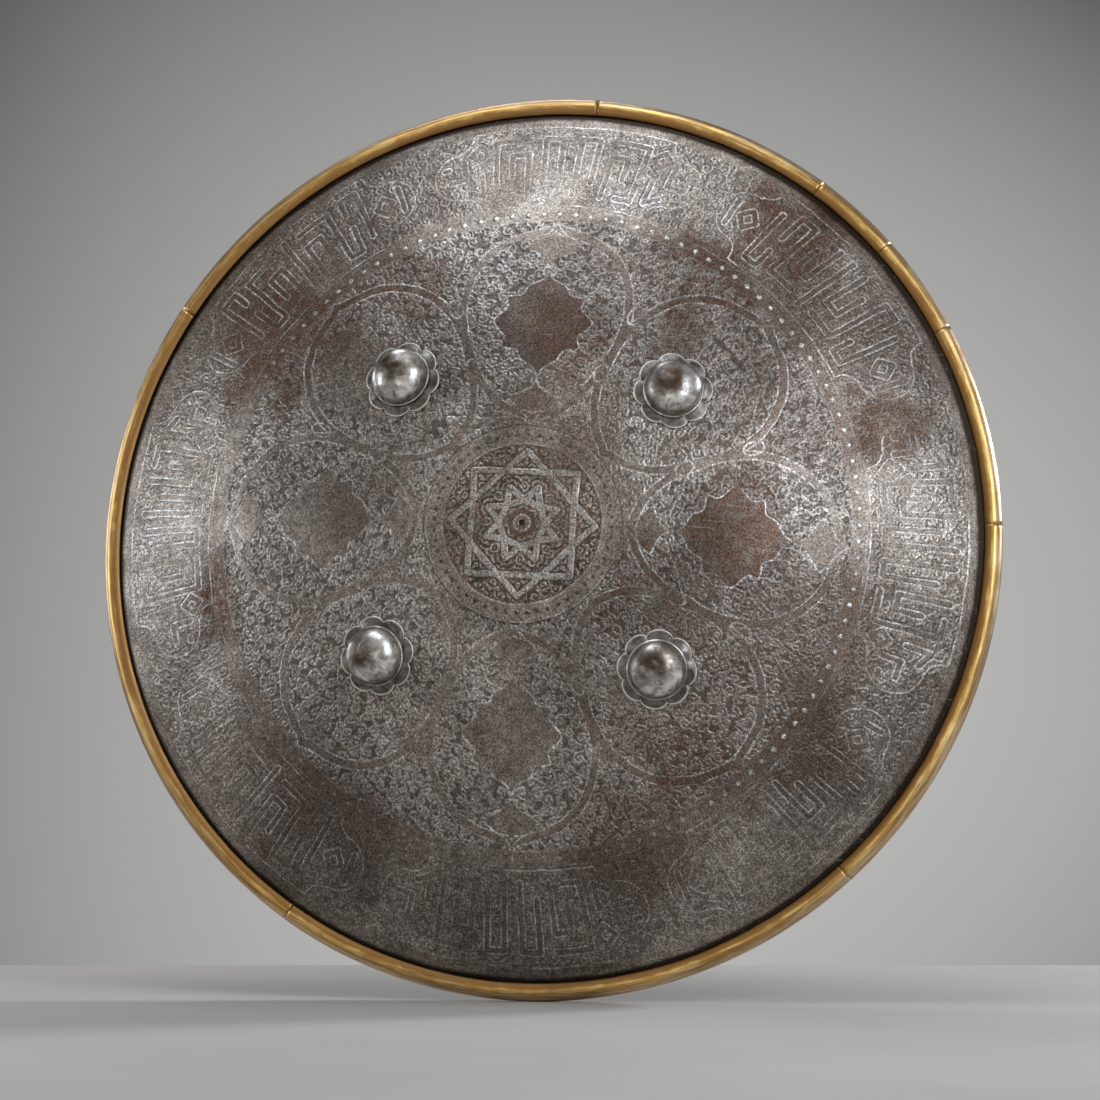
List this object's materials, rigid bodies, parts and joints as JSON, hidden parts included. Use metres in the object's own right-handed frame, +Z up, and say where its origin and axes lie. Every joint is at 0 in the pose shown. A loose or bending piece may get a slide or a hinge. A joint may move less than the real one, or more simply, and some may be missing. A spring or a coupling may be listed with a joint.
{
  "type": "dhal shield",
  "caption": "Round dished steel shield with a rolled brass rim, four bosses on petalled rosettes, and two leather grips on rings at either side of a knuckle pad.",
  "frame": {"origin": "on the shield's axis, in the plane of the rim's back, where a hand holds both grips", "axes": "+Y along the shield's axis, from the face towards the hand; +Z up; +X to the right of someone who looks at the face"},
  "size_m": [0.45, 0.0765, 0.4497],
  "materials": {
    "engraved_steel": "etched and chased, browned and stained",
    "rim_brass": "worn, with brown tarnish",
    "boss_steel": "polished, lightly stained",
    "rosette_steel": "burnished with bright edges",
    "fitting_iron": "forged and oiled",
    "hide": "thin tanned hide",
    "pad_leather": "soft quilted leather",
    "strap_leather": "waxed strap leather",
    "grip_leather": "hand-worn leather with a sewn seam"
  },
  "bodies": {
    "shield": {"shield_plate": "engraved_steel", "rim_strip_1": "rim_brass", "rim_strip_2": "rim_brass", "rim_strip_3": "rim_brass", "rim_strip_4": "rim_brass", "rim_strip_5": "rim_brass", "rim_strip_6": "rim_brass", "rim_strip_7": "rim_brass", "rim_strip_8": "rim_brass", "boss_dome_upper_left": "boss_steel", "boss_dome_upper_right": "boss_steel", "boss_dome_lower_left": "boss_steel", "boss_dome_lower_right": "boss_steel", "boss_rosette_upper_left": "rosette_steel", "boss_rosette_upper_right": "rosette_steel", "boss_rosette_lower_left": "rosette_steel", "boss_rosette_lower_right": "rosette_steel", "back_washer_upper_left": "fitting_iron", "back_washer_upper_right": "fitting_iron", "back_washer_lower_left": "fitting_iron", "back_washer_lower_right": "fitting_iron", "ring_bolt_upper_left": "fitting_iron", "ring_bolt_upper_right": "fitting_iron", "ring_bolt_lower_left": "fitting_iron", "ring_bolt_lower_right": "fitting_iron", "pad_backing": "hide", "knuckle_pad": "pad_leather"},
    "left_upper_ring": {"ring_upper_left": "fitting_iron"},
    "left_lower_ring": {"ring_lower_left": "fitting_iron"},
    "left_grip": {"grip_strap_left": "strap_leather", "grip_sleeve_left": "grip_leather"},
    "right_upper_ring": {"ring_upper_right": "fitting_iron"},
    "right_lower_ring": {"ring_lower_right": "fitting_iron"},
    "right_grip": {"grip_strap_right": "strap_leather", "grip_sleeve_right": "grip_leather"}
  },
  "joints": [
    {"name": "left_upper_ring_swing", "type": "hinge", "parent": "shield", "child": "left_upper_ring", "pos_m": [-0.06312, -0.04142, 0.06456], "axis": [1, 0, 0], "range_deg": [-6, 120]},
    {"name": "left_lower_ring_swing", "type": "hinge", "parent": "shield", "child": "left_lower_ring", "pos_m": [-0.06491, -0.0417, -0.06374], "axis": [1, 0, 0], "range_deg": [-6, 120]},
    {"name": "left_grip_swing", "type": "hinge", "parent": "left_upper_ring", "child": "left_grip", "pos_m": [-0.06312, -0.04142, 0.04056], "axis": [1, 0, 0], "range_deg": [-120, 6]},
    {"name": "right_upper_ring_swing", "type": "hinge", "parent": "shield", "child": "right_upper_ring", "pos_m": [0.06312, -0.04142, 0.06456], "axis": [1, 0, 0], "range_deg": [-6, 120]},
    {"name": "right_lower_ring_swing", "type": "hinge", "parent": "shield", "child": "right_lower_ring", "pos_m": [0.06491, -0.0417, -0.06374], "axis": [1, 0, 0], "range_deg": [-6, 120]},
    {"name": "right_grip_swing", "type": "hinge", "parent": "right_upper_ring", "child": "right_grip", "pos_m": [0.06312, -0.04142, 0.04056], "axis": [1, 0, 0], "range_deg": [-120, 6]}
  ],
  "couplings": [
    {"joint": "left_lower_ring_swing", "follows": "left_upper_ring_swing", "ratio": 1},
    {"joint": "left_grip_swing", "follows": "left_upper_ring_swing", "ratio": -1},
    {"joint": "right_lower_ring_swing", "follows": "right_upper_ring_swing", "ratio": 1},
    {"joint": "right_grip_swing", "follows": "right_upper_ring_swing", "ratio": -1}
  ]
}
